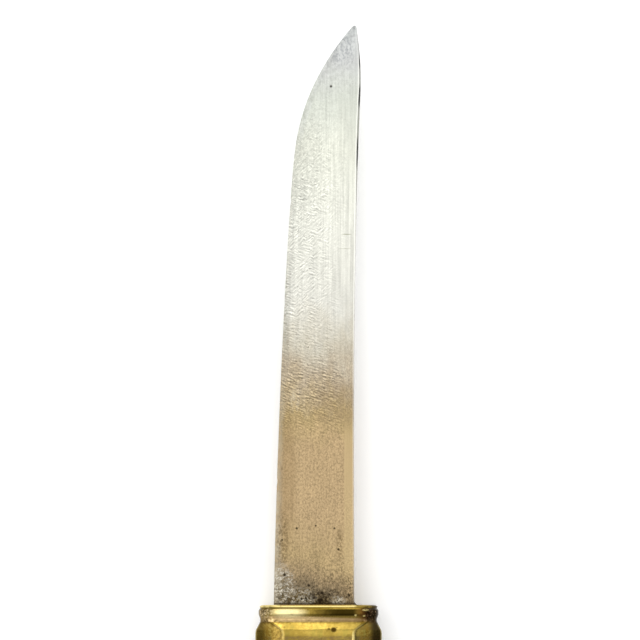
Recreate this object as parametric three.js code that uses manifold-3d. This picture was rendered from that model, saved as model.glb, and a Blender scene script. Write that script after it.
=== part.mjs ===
// A sailor's fixed-blade rigging knife: a narrow single-edged blade with a hidden full-length tang,
// a pressed brass ferrule with a raised lip, an eight-sided hardwood grip, a brass pommel cap over which
// the tang is peened, and a swinging wire bail for the lanyard.
//
// Millimetres. The knife lies on its back flat: +Y runs along it towards the tip, +X from the cutting edge
// to the spine, +Z up. Inside the group, y = 0 is the ferrule's top plate and z = 0 the knife's long axis.

import * as THREE from "three";
import { mergeVertices } from "three/addons/utils/BufferGeometryUtils.js";
import Module from "manifold-3d";

const wasm = await Module();
wasm.setup();

// ---- Driving dimensions -------------------------------------------------------------------------------

const CLEARANCE = 0.08; // between neighbouring solids that touch on the real knife
const REACH = 20; // further from the long axis than any part of the handle

// Blade
const BLADE_LENGTH = 110; // from the ferrule's top plate to the tip
const BLADE_THICKNESS = 2.6; // at the heel
const DISTAL_TAPER = 0.18; // share of the thickness lost evenly from heel to tip
const TIP_TAPER = 0.42; // further share lost in the last stretch
const BELLY_START = 84; // where the edge begins its curve to the tip
const SPINE_HIGHEST = 97; // where the spine stands furthest out
const FLAT_WIDTH = 1.75; // unground strip along the spine
const BEVEL_WIDTH = 1.15; // the sharpened bevel along the edge
const BEVEL_SLOPE = 0.2; // half thickness that the sharpened bevel gains over its width
const STRIP_SHARE = 0.16; // no strip is wider than this share of the blade, which matters at the tip
const EDGE_THICKNESS = 0.14;
const CORNER_BREAK = 0.12; // the worn corners of the spine
const SPINE_BEVEL = { middle: 93, spread: 16, width: 0.26, slope: 2, fullFrom: 8 };

// Ferrule and pommel cap
const FERRULE_LENGTH = 22;
const POMMEL_FRONT = -88; // the pommel cap's mouth
const POMMEL_END = -106; // the pommel cap's end face
const DOME = { length: 5, inset: 7.2, turn: 0.94 }; // how the cap rounds off towards its end face
const WALL = 1; // brass wall of the ferrule and of the cap
const MOUTH_WALL = 1.2; // the ferrule's wall at its rolled mouth
const DOME_WALL = 3.6; // from the cap's side to the hollow, at the hollow's narrow end
const PLATE = 1.2; // brass across the ferrule's top and the cap's end
const SLOT_GAP = 0.55; // between the blade and the slot in the ferrule's top plate
const BEAD_HEIGHT = 0.45; // of the rolled beads at the ferrule's mouth and the cap's mouth

// The handle's sections are octagons: half width, half thickness, the corner cut and the corner's rounding.
const LIP = { a: 11.37, b: 8.35, cut: 2.5, soft: 1.1 };
const NECK = { a: 11.05, b: 7.95, cut: 1.8, soft: 0.8 };
const COLLAR = { a: 12, b: 9, cut: 5.2, soft: 0.45 };
const GRIP_END = { a: 12.1, b: 9.15, cut: 5.2, soft: 0.9 };
const ROLL = { a: 12.25, b: 9.25, cut: 5.2, soft: 0.9 }; // crest of the beads round the grip's ends
const GRIP_SWELL = 1.5; // how much half width the grip gains at its middle
const GRIP_CUT_SWELL = 0.5; // how much its corner cut gains there
const HALF_THICKNESS = 9.3; // the grip's flats, which the knife lies on

// Tang, washers, burr and rivets
const WASHER = 1.2; // thickness of the fibre washers inside the brass
const TANG = { shoulder: 4.6, waist: 3.4, waistAt: -60, thickness: 2.6, endRadius: 2, offset: -0.4 };
const TANG_HOLE_GAP = 0.9; // pitch round the tang
const ROUND_HOLE_GAP = 0.15; // round the tang's round end, in the cap and in the burr
const PEEN = { radius: 2.9, height: 1.3 };
const BURR = { radius: 4.1, thickness: 1.1, chamfer: 0.5 };
const PIN = { y: -14.5, radius: 0.8, head: 1.5, headHeight: 0.55, depth: 6 };
const PIVOT = { radius: 1.1, head: 2.1, headHeight: 1, depth: 7 };

// Bail
const BAIL = { pivotY: -98, wire: 1.2, legX: 14, leg: 8, eyeRadius: 2.6, eyeThickness: 2 };
const BOSS = { radius: 2.9, height: 0.6 }; // raised pad on the cap that the bail's eye turns against

// What follows from them
const bladeShoulder = -PLATE; // where the blade ends and its tang begins
const tangRoundFrom = POMMEL_END + PLATE + WASHER + 3; // the tang is round from here to its end
const peenFrom = POMMEL_END - BURR.thickness - 2 * CLEARANCE;
const bailReach = BAIL.leg + BAIL.legX; // pivot to the middle of the loop's wire
const bailDrop = Math.asin((HALF_THICKNESS - BAIL.wire) / bailReach); // the loop rests on the table
const rearmost = BAIL.pivotY - bailReach * Math.cos(bailDrop) - BAIL.wire;

// ---- Materials ----------------------------------------------------------------------------------------

const metal = (color, roughness) => new THREE.MeshStandardMaterial({ color, roughness, metalness: 1 });
const plain = (color, roughness) => new THREE.MeshStandardMaterial({ color, roughness, metalness: 0 });
const steel = metal(0xc9c6ba, 0.38);
const brass = metal(0xb8943a, 0.32);
const wood = plain(0x5a3320, 0.45);
const fibre = plain(0x6b3226, 0.8);
const pitch = plain(0x1d1712, 0.6);

// ---- Geometry helpers ---------------------------------------------------------------------------------

const vec = (x, y, z) => new THREE.Vector3(x, y, z);
const flatPoint = (x, y) => new THREE.Vector2(x, y);
const ALONG_X = vec(1, 0, 0);
const ALONG_Y = vec(0, 1, 0);

// A closed mesh through rings of equally many points, with a flat fan over its first and last ring.
function loft(rings) {
  const count = rings[0].length;
  const positions = rings.flat().flatMap((p) => [p.x, p.y, p.z]);
  const index = [];
  for (let r = 0; r < rings.length - 1; r++) {
    for (let i = 0; i < count; i++) {
      const j = (i + 1) % count;
      const [a, b] = [r * count + i, r * count + j];
      index.push(a, b, b + count, a, b + count, a + count);
    }
  }
  const last = (rings.length - 1) * count;
  for (let i = 1; i < count - 1; i++) index.push(0, i + 1, i, last, last + i, last + i + 1);
  const geometry = new THREE.BufferGeometry();
  geometry.setAttribute("position", new THREE.BufferAttribute(new Float32Array(positions), 3));
  geometry.setIndex(index);
  return geometry;
}

// A three.js geometry as a manifold-3d solid with its faces outward.
function solid(geometry) {
  const bare = new THREE.BufferGeometry();
  bare.setAttribute("position", geometry.getAttribute("position"));
  bare.setIndex(geometry.index);
  const merged = mergeVertices(bare, 1e-4);
  const vertProperties = merged.attributes.position.array;
  const build = (triVerts) => new wasm.Manifold(new wasm.Mesh({ numProp: 3, vertProperties, triVerts }));
  const triVerts = new Uint32Array(merged.index.array);
  const made = build(triVerts);
  if (made.volume() > 0) return made;
  for (let i = 0; i < triVerts.length; i += 3) triVerts.subarray(i + 1, i + 3).reverse();
  return build(triVerts);
}

function geometryOf(manifold) {
  const mesh = manifold.getMesh();
  const geometry = new THREE.BufferGeometry();
  geometry.setAttribute("position", new THREE.BufferAttribute(new Float32Array(mesh.vertProperties), 3));
  geometry.setIndex(new THREE.BufferAttribute(new Uint32Array(mesh.triVerts), 1));
  geometry.computeVertexNormals();
  return geometry;
}

// An eight-sided section across the knife at height y, with rounded corners.
function octagon(y, { a, b, cut, soft }, shiftX = 0) {
  const corners = [
    flatPoint(a, b - cut), flatPoint(a - cut, b), flatPoint(cut - a, b), flatPoint(-a, b - cut),
    flatPoint(-a, cut - b), flatPoint(cut - a, -b), flatPoint(a - cut, -b), flatPoint(a, cut - b),
  ];
  const steps = 3;
  const ring = [];
  corners.forEach((corner, i) => {
    const before = corners[(i + 7) % 8].clone().sub(corner).setLength(soft).add(corner);
    const after = corners[(i + 1) % 8].clone().sub(corner).setLength(soft).add(corner);
    ring.push(...new THREE.QuadraticBezierCurve(before, corner, after).getPoints(steps));
  });
  return ring.map((p) => vec(p.x + shiftX, y, p.y));
}

// A section with every side moved inwards by the same distance.
const inset = (s, distance) => ({
  a: s.a - distance,
  b: s.b - distance,
  cut: s.cut - distance * (2 - Math.SQRT2),
  soft: s.soft,
});

// A section between two others.
const mix = (s, t, k) => ({
  a: THREE.MathUtils.lerp(s.a, t.a, k),
  b: THREE.MathUtils.lerp(s.b, t.b, k),
  cut: THREE.MathUtils.lerp(s.cut, t.cut, k),
  soft: THREE.MathUtils.lerp(s.soft, t.soft, k),
});

// Stations [y, section] of a half-round bead from y0 to y1, whose crest is the section itself.
function bead(y0, y1, section, height) {
  const steps = 6;
  const stations = [];
  for (let i = 0; i <= steps; i++) {
    const angle = (Math.PI * i) / steps;
    const y = (y0 + y1) / 2 + ((y0 - y1) / 2) * Math.cos(angle);
    stations.push([y, inset(section, height * (1 - Math.sin(angle)))]);
  }
  return stations;
}

const loftStations = (stations) => solid(loft(stations.map(([y, section]) => octagon(y, section))));

function cylinder(radius, length, centre, axis) {
  const geometry = new THREE.CylinderGeometry(radius, radius, length, 24);
  geometry.applyQuaternion(new THREE.Quaternion().setFromUnitVectors(ALONG_Y, axis));
  geometry.translate(centre.x, centre.y, centre.z);
  return solid(geometry);
}

function box(from, to) {
  const size = to.clone().sub(from);
  const centre = from.clone().add(to).multiplyScalar(0.5);
  const geometry = new THREE.BoxGeometry(size.x, size.y, size.z);
  geometry.translate(centre.x, centre.y, centre.z);
  return solid(geometry);
}

// A low dome turned about +Y, with its flat side at y = 0.
function dome(radius, height) {
  const steps = 5;
  const profile = [flatPoint(0, 0)];
  for (let i = 0; i < steps; i++) {
    const angle = (Math.PI / 2) * (i / steps);
    profile.push(flatPoint(radius * Math.cos(angle), height * Math.sin(angle)));
  }
  profile.push(flatPoint(0, height));
  return new THREE.LatheGeometry(profile, 24);
}

// A hole along X into one side of the handle.
function sideHole(side, y, radius, depth) {
  const from = GRIP_END.a - depth - CLEARANCE;
  return cylinder(radius + CLEARANCE, REACH - from, vec((side * (REACH + from)) / 2, y, 0), ALONG_X);
}

// A rivet along X with a low round head, whose head sits on the plane x = face of one side.
function rivet(side, { radius, head, headHeight, depth }, face) {
  const tip = GRIP_END.a - depth + 2 * CLEARANCE;
  const end = face + headHeight / 3;
  const shank = cylinder(radius, end - tip, vec((end + tip) / 2, 0, 0), ALONG_X);
  const made = shank.add(solid(dome(head, headHeight).rotateZ(-Math.PI / 2).translate(face, 0, 0)));
  return side > 0 ? made : made.rotate([0, 0, 180]);
}

// ---- Blade --------------------------------------------------------------------------------------------

// The cutting edge's line, seen on the flat: a long, slightly worn run, then the belly up to the tip.
const edgeRun = new THREE.CubicBezierCurve(
  flatPoint(-8.5, 0),
  flatPoint(-7.7, 43),
  flatPoint(-5.3, 79),
  flatPoint(-4.72, BELLY_START),
);
const edgeBelly = new THREE.CubicBezierCurve(
  flatPoint(-4.72, BELLY_START),
  flatPoint(-4.3, 87.5),
  flatPoint(-3.9, 97.8),
  flatPoint(6.55, BLADE_LENGTH),
);
// The spine's line: almost straight, standing out a little before it drops to the tip.
const spineRun = new THREE.CubicBezierCurve(
  flatPoint(6.75, 0),
  flatPoint(6.5, 42),
  flatPoint(6.7, 70),
  flatPoint(7.95, SPINE_HIGHEST),
);
const spineDrop = new THREE.QuadraticBezierCurve(
  flatPoint(7.95, SPINE_HIGHEST),
  flatPoint(8.2, 103),
  flatPoint(7.15, BLADE_LENGTH),
);

// x on a pair of curves that meet, at height y. Both rise steadily in y, so halving finds the place.
function xAt(y, run, end) {
  const curve = y < run.getPoint(1).y ? run : end;
  let [low, high] = [0, 1];
  for (let i = 0; i < 40; i++) {
    const middle = (low + high) / 2;
    if (curve.getPoint(middle).y < y) low = middle;
    else high = middle;
  }
  return curve.getPoint(low).x;
}

// One ring of the blade: spine, spine bevel, unground strip, ground face, sharpened bevel, edge.
function bladeSection(y) {
  const edge = xAt(y, edgeRun, edgeBelly);
  const spine = xAt(y, spineRun, spineDrop);
  const width = spine - edge;
  const s = THREE.MathUtils.clamp(y / BLADE_LENGTH, 0, 1);
  const half = (BLADE_THICKNESS / 2) * (1 - DISTAL_TAPER * s - TIP_TAPER * s ** 10);
  const nearness = Math.exp(-(((y - SPINE_BEVEL.middle) / SPINE_BEVEL.spread) ** 2));
  const spineBevel = SPINE_BEVEL.width * nearness * Math.min(1, width / SPINE_BEVEL.fullFrom);
  const chamfer = CORNER_BREAK + spineBevel;
  const chamferDepth = Math.min(half * 0.6, CORNER_BREAK + spineBevel * SPINE_BEVEL.slope);
  const flat = Math.min(FLAT_WIDTH, width * STRIP_SHARE);
  const bevel = Math.min(BEVEL_WIDTH, width * STRIP_SHARE);
  const bevelHalf = CORNER_BREAK + BEVEL_SLOPE * bevel;
  const side = [
    [spine, half - chamferDepth],
    [spine - chamfer, half],
    [spine - chamfer - flat, half],
    [edge + bevel, Math.min(bevelHalf, half * 0.75)],
    [edge, EDGE_THICKNESS / 2],
  ];
  const back = side.map(([x, z]) => [x, -z]).reverse();
  return [...side, ...back].map(([x, z]) => vec(x, y, z));
}

function bladeBody() {
  const heights = [];
  for (let y = bladeShoulder; y < BELLY_START; y += 6) heights.push(y);
  for (let y = BELLY_START; y < BLADE_LENGTH - 2; y += 2) heights.push(y);
  heights.push(BLADE_LENGTH - 2, BLADE_LENGTH - 1, BLADE_LENGTH - 0.4, BLADE_LENGTH);
  return solid(loft(heights.map(bladeSection)));
}

// The tang: flat and tapered down to the cap, then round through it, with its end hammered to a dome.
function tangBody() {
  const section = (y, halfWidth, x) =>
    octagon(y, { a: halfWidth, b: TANG.thickness / 2, cut: 0.45, soft: 0.12 }, x);
  const flat = solid(
    loft([
      section(tangRoundFrom - 1, TANG.endRadius, 0),
      section(TANG.waistAt, TANG.waist, TANG.offset / 2),
      section(bladeShoulder + 1, TANG.shoulder, TANG.offset),
    ]),
  );
  const roundLength = tangRoundFrom - peenFrom;
  const round = cylinder(TANG.endRadius, roundLength, vec(0, tangRoundFrom - roundLength / 2, 0), ALONG_Y);
  const peen = dome(PEEN.radius, PEEN.height).rotateX(Math.PI).translate(0, peenFrom, 0);
  return flat.add(round).add(solid(peen));
}

// ---- Ferrule ------------------------------------------------------------------------------------------

// From the top plate down: the rim and the groove under it, the lip's flat band, the neck, the shoulder, the
// body and the rolled bead at its mouth.
const ferruleStations = () => [
  [0, inset(LIP, 0.7)],
  [-0.06, inset(LIP, 0.36)],
  [-0.18, inset(LIP, 0.2)],
  [-0.46, inset(LIP, 0.2)],
  [-0.57, inset(LIP, 0.36)],
  [-0.66, inset(LIP, 0.3)],
  [-0.85, inset(LIP, 0.05)],
  [-1.15, LIP],
  [-1.75, LIP],
  [-2.6, NECK],
  [-3.1, NECK],
  [-3.35, mix(NECK, COLLAR, 0.12)],
  [-4.75, mix(NECK, COLLAR, 0.92)],
  [-5.4, COLLAR],
  [-18.2, GRIP_END],
  [-18.5, inset(GRIP_END, 0.3)],
  ...bead(-18.9, -21.2, ROLL, BEAD_HEIGHT),
  [-21.5, inset(GRIP_END, 0.3)],
  [-FERRULE_LENGTH, inset(GRIP_END, 0.3)],
];

// The space inside the ferrule, from under its top plate to its open mouth.
const ferruleHollow = (gap) => [
  [-PLATE - gap, inset(NECK, WALL + gap)],
  [-3.2, inset(NECK, WALL + gap)],
  [-6, inset(COLLAR, WALL + gap)],
  [-FERRULE_LENGTH, inset(GRIP_END, MOUTH_WALL + gap)],
];

// The blade's own outline through the top plate, grown all round by a gap.
function bladeSlot(gap) {
  const heel = bladeSection(0).map((p) => p.x);
  const half = BLADE_THICKNESS / 2 + gap;
  return box(vec(Math.min(...heel) - gap, -PLATE - 1, -half), vec(Math.max(...heel) + gap, 1, half));
}

function ferrule() {
  const inside = ferruleHollow(0);
  const [, mouth] = inside.at(-1);
  const hollow = loftStations([...inside, [-FERRULE_LENGTH - 1, mouth]]);
  let made = loftStations(ferruleStations()).subtract(hollow).subtract(bladeSlot(SLOT_GAP));
  for (const side of [-1, 1]) made = made.subtract(sideHole(side, PIN.y, PIN.radius, PIN.depth));
  return made;
}

// Old pitch that seals the blade in the ferrule's slot.
function seatPacking() {
  const layer = box(vec(-REACH, -PLATE + CLEARANCE, -REACH), vec(REACH, -CLEARANCE, REACH));
  return bladeSlot(SLOT_GAP - CLEARANCE).intersect(layer).subtract(bladeSlot(CLEARANCE));
}

const ferrulePin = (side) => rivet(side, PIN, GRIP_END.a + CLEARANCE);

// ---- Grip ---------------------------------------------------------------------------------------------

// The grip's section at height y: swelling in the palm, with its two broad flats kept level.
function gripSection(y) {
  const t = (y + FERRULE_LENGTH) / (POMMEL_FRONT + FERRULE_LENGTH);
  const swell = Math.sin(Math.PI * THREE.MathUtils.clamp(t, 0, 1)) ** 1.4;
  const rise = THREE.MathUtils.smoothstep(Math.min(t, 1 - t), 0, 0.16);
  return {
    a: GRIP_END.a + GRIP_SWELL * swell,
    b: THREE.MathUtils.lerp(GRIP_END.b, HALF_THICKNESS, rise),
    cut: GRIP_END.cut + GRIP_CUT_SWELL * swell,
    soft: GRIP_END.soft,
  };
}

function gripStations() {
  const front = -FERRULE_LENGTH - CLEARANCE;
  const rear = POMMEL_FRONT + CLEARANCE;
  const tenon = ferruleHollow(CLEARANCE).slice(1, -1);
  const neck = inset(NECK, WALL + CLEARANCE);
  const rearTenon = inset(GRIP_END, WALL + CLEARANCE);
  const stations = [[-PLATE - WASHER - 2 * CLEARANCE, neck], ...tenon];
  stations.push([front, inset(GRIP_END, MOUTH_WALL + CLEARANCE)]);
  const steps = 18;
  for (let i = 0; i <= steps; i++) {
    const y = THREE.MathUtils.lerp(front, rear, i / steps);
    stations.push([y, gripSection(y)]);
  }
  stations.push([rear, rearTenon], [POMMEL_END + DOME.length, rearTenon]);
  stations.push([POMMEL_END + PLATE + WASHER + 2 * CLEARANCE, inset(GRIP_END, DOME_WALL + CLEARANCE)]);
  return stations;
}

function grip() {
  let made = loftStations(gripStations()).subtract(tangHole(0));
  for (const side of [-1, 1]) {
    made = made.subtract(sideHole(side, PIN.y, PIN.radius, PIN.depth));
    made = made.subtract(sideHole(side, BAIL.pivotY, PIVOT.radius, PIVOT.depth));
  }
  return made;
}

// The tapering slot down the grip that takes the tang and its bedding, drawn in all round by a gap.
function tangHole(gap) {
  const grown = TANG_HOLE_GAP - gap;
  const section = (y, halfWidth, x) =>
    octagon(y, { a: halfWidth + grown, b: TANG.thickness / 2 + grown, cut: 0.6, soft: 0.2 }, x);
  return solid(loft([section(POMMEL_END - 1, TANG.waist, 0), section(1, TANG.shoulder, TANG.offset)]));
}

// Pitch poured round the tang, which fills what the tang leaves of the slot.
function tangBedding() {
  const front = -PLATE - WASHER - 4 * CLEARANCE;
  const rear = POMMEL_END + PLATE + WASHER + 4 * CLEARANCE;
  const room = (y, halfWidth, halfDepth, x) =>
    octagon(y, { a: halfWidth + CLEARANCE, b: halfDepth + CLEARANCE, cut: 0.4, soft: 0.1 }, x);
  const wide = TANG.endRadius + 0.4;
  const half = TANG.thickness / 2;
  const tangRoom = solid(
    loft([
      room(POMMEL_END - 1, TANG.endRadius, TANG.endRadius, 0),
      room(rear + 4, wide, TANG.endRadius, 0),
      room(rear + 5, wide, half, 0),
      room(TANG.waistAt, TANG.waist, half, TANG.offset / 2),
      room(1, TANG.shoulder + 0.1, half, TANG.offset),
    ]),
  );
  const length = box(vec(-REACH, rear, -REACH), vec(REACH, front, REACH));
  return tangHole(CLEARANCE).intersect(length).subtract(tangRoom);
}

// ---- Fibre washers ------------------------------------------------------------------------------------

function frontWasher() {
  const section = inset(NECK, WALL + 2 * CLEARANCE);
  const top = -PLATE - CLEARANCE;
  const disc = loftStations([[top - WASHER + CLEARANCE, section], [top, section]]);
  return disc.subtract(tangHole(TANG_HOLE_GAP / 2));
}

function buttWasher() {
  const section = inset(GRIP_END, DOME_WALL + 0.2);
  const bottom = POMMEL_END + PLATE + CLEARANCE;
  const disc = loftStations([[bottom, section], [bottom + WASHER - CLEARANCE, section]]);
  return disc.subtract(cylinder(TANG.endRadius + 0.4, 4 * WASHER, vec(0, bottom, 0), ALONG_Y));
}

// ---- Pommel cap ---------------------------------------------------------------------------------------

// The cap's outer section over its rounded end, where s runs from 0 at the side to 1 at the end face.
function domeSection(s) {
  const round = 1 - Math.sqrt(1 - (s * DOME.turn) ** 2);
  return inset({ ...GRIP_END, soft: 0.6 }, round * DOME.inset);
}

function pommelStations() {
  const stations = [
    [POMMEL_FRONT, inset(GRIP_END, 0.3)],
    [POMMEL_FRONT - 0.5, inset(GRIP_END, 0.3)],
    ...bead(POMMEL_FRONT - 0.8, POMMEL_FRONT - 3.1, ROLL, BEAD_HEIGHT),
    [POMMEL_FRONT - 3.5, inset(GRIP_END, 0.3)],
    [POMMEL_FRONT - 3.8, domeSection(0)],
  ];
  const steps = 8;
  for (let i = 0; i <= steps; i++) {
    stations.push([POMMEL_END + DOME.length * (1 - i / steps), domeSection(i / steps)]);
  }
  return stations;
}

function pommelCap() {
  const hollow = loftStations([
    [POMMEL_FRONT + 1, inset(GRIP_END, WALL)],
    [POMMEL_END + DOME.length, inset(GRIP_END, WALL)],
    [POMMEL_END + PLATE, inset(GRIP_END, DOME_WALL)],
  ]);
  const bosses = cylinder(BOSS.radius, 2 * (GRIP_END.a + BOSS.height), vec(0, BAIL.pivotY, 0), ALONG_X);
  const tangRoom = cylinder(TANG.endRadius + ROUND_HOLE_GAP, 8 * PLATE, vec(0, POMMEL_END, 0), ALONG_Y);
  let made = loftStations(pommelStations()).add(bosses).subtract(hollow).subtract(tangRoom);
  for (const side of [-1, 1]) made = made.subtract(sideHole(side, BAIL.pivotY, PIVOT.radius, PIVOT.depth));
  return made;
}

// The brass washer that the tang's end is hammered down on.
function tangBurr() {
  const top = POMMEL_END - CLEARANCE;
  const bottom = top - BURR.thickness;
  const hole = TANG.endRadius + ROUND_HOLE_GAP;
  const profile = [
    flatPoint(hole, bottom),
    flatPoint(BURR.radius - BURR.chamfer, bottom),
    flatPoint(BURR.radius, bottom + BURR.chamfer),
    flatPoint(BURR.radius, top),
    flatPoint(hole, top),
    flatPoint(hole, bottom),
  ];
  return solid(new THREE.LatheGeometry(profile, 28));
}

// ---- Bail and its pivots ------------------------------------------------------------------------------

// The wire's centre line: down one leg, round a half circle and back up the other leg.
function bailPath() {
  const { legX, leg } = BAIL;
  const start = PIVOT.head + 0.2; // clear of the pivot's head
  const bend = leg / 2 + 1;
  const points = [vec(legX, -start, 0), vec(legX, -bend, 0)];
  const steps = 12;
  for (let i = 0; i <= steps; i++) {
    const angle = (Math.PI * i) / steps;
    points.push(vec(legX * Math.cos(angle), -leg - legX * Math.sin(angle), 0));
  }
  points.push(vec(-legX, -bend, 0), vec(-legX, -start, 0));
  return new THREE.CatmullRomCurve3(points, false, "centripetal");
}

// The bail in its own frame: its eyes turn about the X axis at the origin, and its loop reaches to -Y.
function bail() {
  const sides = 10;
  const outline = [];
  for (let i = 0; i < sides; i++) {
    const angle = (2 * Math.PI * i) / sides;
    outline.push(flatPoint(BAIL.wire * Math.cos(angle), BAIL.wire * Math.sin(angle)));
  }
  const options = { steps: 44, extrudePath: bailPath(), bevelEnabled: false };
  let made = solid(new THREE.ExtrudeGeometry(new THREE.Shape(outline), options));
  for (const side of [-1, 1]) {
    made = made.add(cylinder(BAIL.eyeRadius, BAIL.eyeThickness, vec(side * BAIL.legX, 0, 0), ALONG_X));
  }
  return made.subtract(cylinder(PIVOT.radius + CLEARANCE, 4 * BAIL.legX, vec(0, 0, 0), ALONG_X));
}

const bailPivot = (side) => rivet(side, PIVOT, BAIL.legX + BAIL.eyeThickness / 2 + CLEARANCE);

// ---- Assembly -----------------------------------------------------------------------------------------

const knife = new THREE.Group();
knife.position.set(0, -(BLADE_LENGTH + rearmost) / 2, HALF_THICKNESS);

function place(name, manifold, material, parent = knife) {
  const mesh = new THREE.Mesh(geometryOf(manifold), material);
  mesh.name = name;
  parent.add(mesh);
  return mesh;
}

place("blade", bladeBody().add(tangBody()), steel);
place("ferrule", ferrule(), brass);
place("seat_packing", seatPacking(), pitch);
place("front_washer", frontWasher(), fibre);
place("grip", grip(), wood);
place("tang_bedding", tangBedding(), pitch);
place("butt_washer", buttWasher(), fibre);
place("pommel_cap", pommelCap(), brass);
place("tang_burr", tangBurr(), brass);
[["left", -1], ["right", 1]].forEach(([word, side]) => {
  place(`ferrule_pin_${word}`, ferrulePin(side), brass).position.y = PIN.y;
  place(`bail_pivot_${word}`, bailPivot(side), brass).position.y = BAIL.pivotY;
});

const swing = new THREE.Group();
swing.position.set(0, BAIL.pivotY, 0);
swing.rotation.x = bailDrop;
knife.add(swing);
place("bail", bail(), brass, swing);

export default knife;
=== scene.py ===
import math

import bmesh
import bpy
import numpy as np
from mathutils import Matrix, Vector, noise


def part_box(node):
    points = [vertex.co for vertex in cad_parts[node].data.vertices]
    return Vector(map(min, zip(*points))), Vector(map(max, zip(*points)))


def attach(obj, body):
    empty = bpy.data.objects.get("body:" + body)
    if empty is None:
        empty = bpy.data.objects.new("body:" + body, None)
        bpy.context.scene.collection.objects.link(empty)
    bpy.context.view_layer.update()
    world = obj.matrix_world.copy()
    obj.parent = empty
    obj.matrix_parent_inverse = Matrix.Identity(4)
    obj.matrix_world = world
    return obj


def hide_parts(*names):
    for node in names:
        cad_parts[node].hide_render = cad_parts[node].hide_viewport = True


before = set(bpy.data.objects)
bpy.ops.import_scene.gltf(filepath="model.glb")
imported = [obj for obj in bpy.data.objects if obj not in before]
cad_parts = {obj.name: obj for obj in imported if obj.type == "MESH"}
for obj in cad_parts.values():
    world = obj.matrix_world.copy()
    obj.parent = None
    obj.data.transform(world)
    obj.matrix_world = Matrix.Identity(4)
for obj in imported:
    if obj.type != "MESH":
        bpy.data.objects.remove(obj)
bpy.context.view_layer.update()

# ---- Dimensions ----

MM = 0.001
tip_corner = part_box("blade")[1]
plate_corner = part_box("ferrule")[1]
grip_low, grip_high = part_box("grip")
ORIGIN = Vector((0, plate_corner.y, (grip_low.z + grip_high.z) / 2))  # of the knife's own axes, in metres

BLADE_LENGTH = (tip_corner.y - plate_corner.y) / MM
HALF_THICKNESS = (grip_high.z - grip_low.z) / 2 / MM

BLADE_THICKNESS = 2.6
DISTAL_TAPER = 0.18
TIP_TAPER = 0.42
BELLY_START = 84
SPINE_HIGHEST = 97
FLAT_WIDTH = 1.75
BEVEL_WIDTH = 1.15
BEVEL_SLOPE = 0.2
STRIP_SHARE = 0.16
EDGE_THICKNESS = 0.14
CORNER_BREAK = 0.12
SPINE_BREAK = 0.05
ARRIS = 0.2
HEEL_FLARE = 0.7
SPINE_BEVEL = {"middle": 93, "spread": 16, "width": 0.32, "slope": 1.7, "full_from": 8}

FERRULE_LENGTH = 22
POMMEL_FRONT = -88
POMMEL_END = -106
DOME = {"length": 5, "inset": 7.2, "turn": 0.94}
WALL = 1.0
MOUTH_WALL = 1.2
DOME_WALL = 3.6
PLATE = 1.2
SLOT_GAP = 0.55
BEAD_HEIGHT = 0.45
CROWN = 0.32
CLEARANCE = 0.08

# Sections of the handle: half width, half thickness, the corner cut and the corner's rounding.
LIP = np.array((11.37, 8.35, 2.5, 1.1))
NECK = np.array((11.05, 7.95, 1.8, 0.8))
COLLAR = np.array((12.0, 9.0, 5.2, 0.45))
GRIP_END = np.array((12.1, 9.15, 5.2, 0.9))
ROLL = np.array((12.25, 9.25, 5.2, 0.9))
GRIP_SWELL = np.array((1.5, 0, 0.5, 0))

WASHER = 1.2
TANG = {"shoulder": 4.6, "waist": 3.4, "waist_at": -60, "thickness": 2.6, "end_radius": 2, "offset": -0.4}
TANG_HOLE_GAP = 0.9
ROUND_HOLE_GAP = 0.15
PEEN = {"radius": 2.9, "height": 1.3}
BURR = {"radius": 4.1, "thickness": 1.1, "chamfer": 0.5}
PIN = {"y": -14.5, "radius": 0.8, "head": 1.5, "head_height": 0.55, "depth": 6}
PIVOT = {"y": -98, "radius": 1.1, "head": 2.1, "head_height": 1.0, "depth": 7}
BAIL = {"wire": 1.19, "leg_x": 14, "leg": 8, "eye_radius": 2.6, "eye_half": 1.0}
BOSS = {"radius": 2.9, "height": 0.6}


# ---- Camera ----

VIEW_WIDTH = 121.3  # what the image shows across, at the blade's height
VIEW_CENTRE = (0.27, 54.1)
VIEW_TILT = math.radians(2)  # from straight down, towards the handle
CAMERA_DISTANCE = 3000.0
SENSOR = 36.0


def add_camera():
    """Looks down on the blade's flat, with the tip at the top of the image."""
    data = bpy.data.cameras.new("camera")
    data.sensor_width = SENSOR
    data.lens = SENSOR * CAMERA_DISTANCE / VIEW_WIDTH
    data.clip_end = 100
    camera = bpy.data.objects.new("camera", data)
    away = Vector((0, -math.sin(VIEW_TILT), math.cos(VIEW_TILT)))
    camera.location = ORIGIN + (Vector((*VIEW_CENTRE, 0)) + away * CAMERA_DISTANCE) * MM
    camera.rotation_euler = (VIEW_TILT, 0, 0)
    bpy.context.scene.collection.objects.link(camera)
    bpy.context.scene.camera = camera


# ---- Meshes ----

SHARP_FROM = math.radians(38)


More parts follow.
